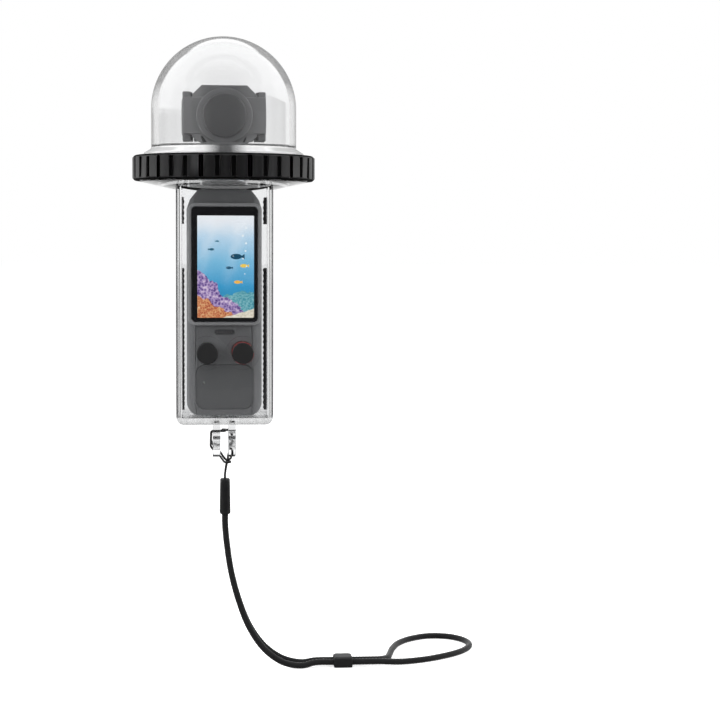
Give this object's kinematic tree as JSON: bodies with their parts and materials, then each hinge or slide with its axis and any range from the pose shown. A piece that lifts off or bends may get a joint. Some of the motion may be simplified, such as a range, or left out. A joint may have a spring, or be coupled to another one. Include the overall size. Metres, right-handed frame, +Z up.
{
  "type": "pocket gimbal camera in a dive housing",
  "caption": "Pocket gimbal camera inside a clear waterproof housing with a dome port, screw clamp ring, sealed key plungers, finger mount and braided wrist strap.",
  "frame": {"origin": "centre of the finger mount's cross bore, midway between the two fingers", "axes": "+X right as the user sees the screen and along the cross bore, +Y away from the user along the lens's view, +Z up from the finger mount to the dome"},
  "size_m": [0.1534, 0.0924, 0.2738],
  "materials": {
    "clear_polycarbonate": "clear, polished",
    "frosted_plastic": "translucent",
    "black_moulding": "satin black",
    "soft_rubber": "matt black",
    "spring_steel": "bright",
    "grip_plastic": "fine matt grey",
    "gimbal_metal": "blasted and anodised grey",
    "cap_metal": "anodised dark grey",
    "motor_winding": "enamelled wire",
    "circuit_board": "lacquered",
    "battery_wrap": "foil wrap",
    "cover_glass": "polished",
    "display": "lit picture",
    "red_key": "satin red",
    "lamp_lens": "milky grey, unlit",
    "braided_cord": "black braid",
    "strap_moulding": "matt black"
  },
  "bodies": {
    "housing": {"housing_body": "clear_polycarbonate", "finger_mount": "clear_polycarbonate", "side_pads": "soft_rubber", "rear_pad": "soft_rubber", "base_pad": "frosted_plastic", "dome_seal": "soft_rubber", "record_plunger_spring": "spring_steel", "mode_plunger_spring": "spring_steel", "grip_front_shell": "grip_plastic", "grip_rear_shell": "grip_plastic", "grip_panel": "grip_plastic", "status_lamp": "lamp_lens", "mic_mesh": "soft_rubber", "usb_socket": "spring_steel", "battery_cell": "battery_wrap", "main_board": "circuit_board", "key_switches": "spring_steel", "screen_frame": "grip_plastic", "screen_panel": "display", "screen_glass": "cover_glass", "screen_pivot": "spring_steel", "pan_stator": "grip_plastic", "pan_bearing": "spring_steel", "strap_string": "braided_cord", "strap_ferrule": "strap_moulding", "strap_cord": "braided_cord"},
    "dome": {"dome_port": "clear_polycarbonate"},
    "ring_slip": {"slip_washer": "frosted_plastic"},
    "ring": {"clamp_ring": "black_moulding"},
    "record_push": {"record_plunger": "black_moulding", "record_plunger_seal": "soft_rubber", "record_plunger_clip": "spring_steel"},
    "mode_push": {"mode_plunger": "black_moulding", "mode_plunger_seal": "soft_rubber", "mode_plunger_clip": "spring_steel"},
    "record_button": {"record_key": "red_key"},
    "stick": {"joystick": "soft_rubber"},
    "pan": {"gimbal_arm": "gimbal_metal", "pan_shaft": "spring_steel", "roll_stator": "motor_winding", "roll_bearing": "spring_steel", "roll_cap": "cap_metal"},
    "roll": {"gimbal_yoke": "gimbal_metal", "roll_shaft": "spring_steel", "tilt_stator": "motor_winding", "tilt_bearing": "spring_steel"},
    "head": {"head_rear_shell": "gimbal_metal", "head_front_shell": "gimbal_metal", "tilt_shafts": "spring_steel", "lens_barrel": "black_moulding", "lens_glass": "cover_glass", "sensor_board": "circuit_board"},
    "slider": {"strap_slider": "strap_moulding"}
  },
  "joints": [
    {"name": "dome_lift", "type": "slide", "parent": "housing", "child": "dome", "axis": [0, 0, 1], "range_m": [0, 0.06]},
    {"name": "ring_rise", "type": "slide", "parent": "dome", "child": "ring_slip", "axis": [0, 0, 1], "range_m": [0, 0.0051]},
    {"name": "ring_turn", "type": "hinge", "parent": "ring_slip", "child": "ring", "pos_m": [0, 0, 0.117], "axis": [0, 0, 1], "range_deg": [0, 900]},
    {"name": "record_press", "type": "slide", "parent": "housing", "child": "record_push", "axis": [0, 1, 0], "range_m": [0, 0.0008], "stiffness_N_per_m": 600, "springref_m": -0.0015, "deforming": ["record_plunger_spring"]},
    {"name": "mode_press", "type": "slide", "parent": "housing", "child": "mode_push", "axis": [0, 1, 0], "range_m": [0, 0.0008], "stiffness_N_per_m": 600, "springref_m": -0.0015, "deforming": ["mode_plunger_spring"]},
    {"name": "record_key_press", "type": "slide", "parent": "housing", "child": "record_button", "axis": [0, 1, 0], "range_m": [0, 0.00081]},
    {"name": "stick_press", "type": "slide", "parent": "housing", "child": "stick", "axis": [0, 1, 0], "range_m": [0, 0.00081]},
    {"name": "gimbal_pan", "type": "hinge", "parent": "housing", "child": "pan", "pos_m": [0, 0, 0.1118], "axis": [0, 0, 1], "range_deg": [-235, 58]},
    {"name": "gimbal_roll", "type": "hinge", "parent": "pan", "child": "roll", "pos_m": [0, -0.0095, 0.1393], "axis": [0, 1, 0], "range_deg": [-45, 45]},
    {"name": "head_tilt", "type": "hinge", "parent": "roll", "child": "head", "pos_m": [0, 0.0055, 0.1393], "axis": [1, 0, 0], "range_deg": [-100, 70]},
    {"name": "strap_slide", "type": "slide", "parent": "housing", "child": "slider", "axis": [1, 0, 0], "range_m": [-0.007, 0.011]}
  ],
  "couplings": [
    {"joint": "ring_rise", "follows": "ring_turn", "m_per_rad": 0.00031831},
    {"joint": "record_key_press", "follows": "record_press", "ratio": 1},
    {"joint": "stick_press", "follows": "mode_press", "ratio": 1}
  ]
}
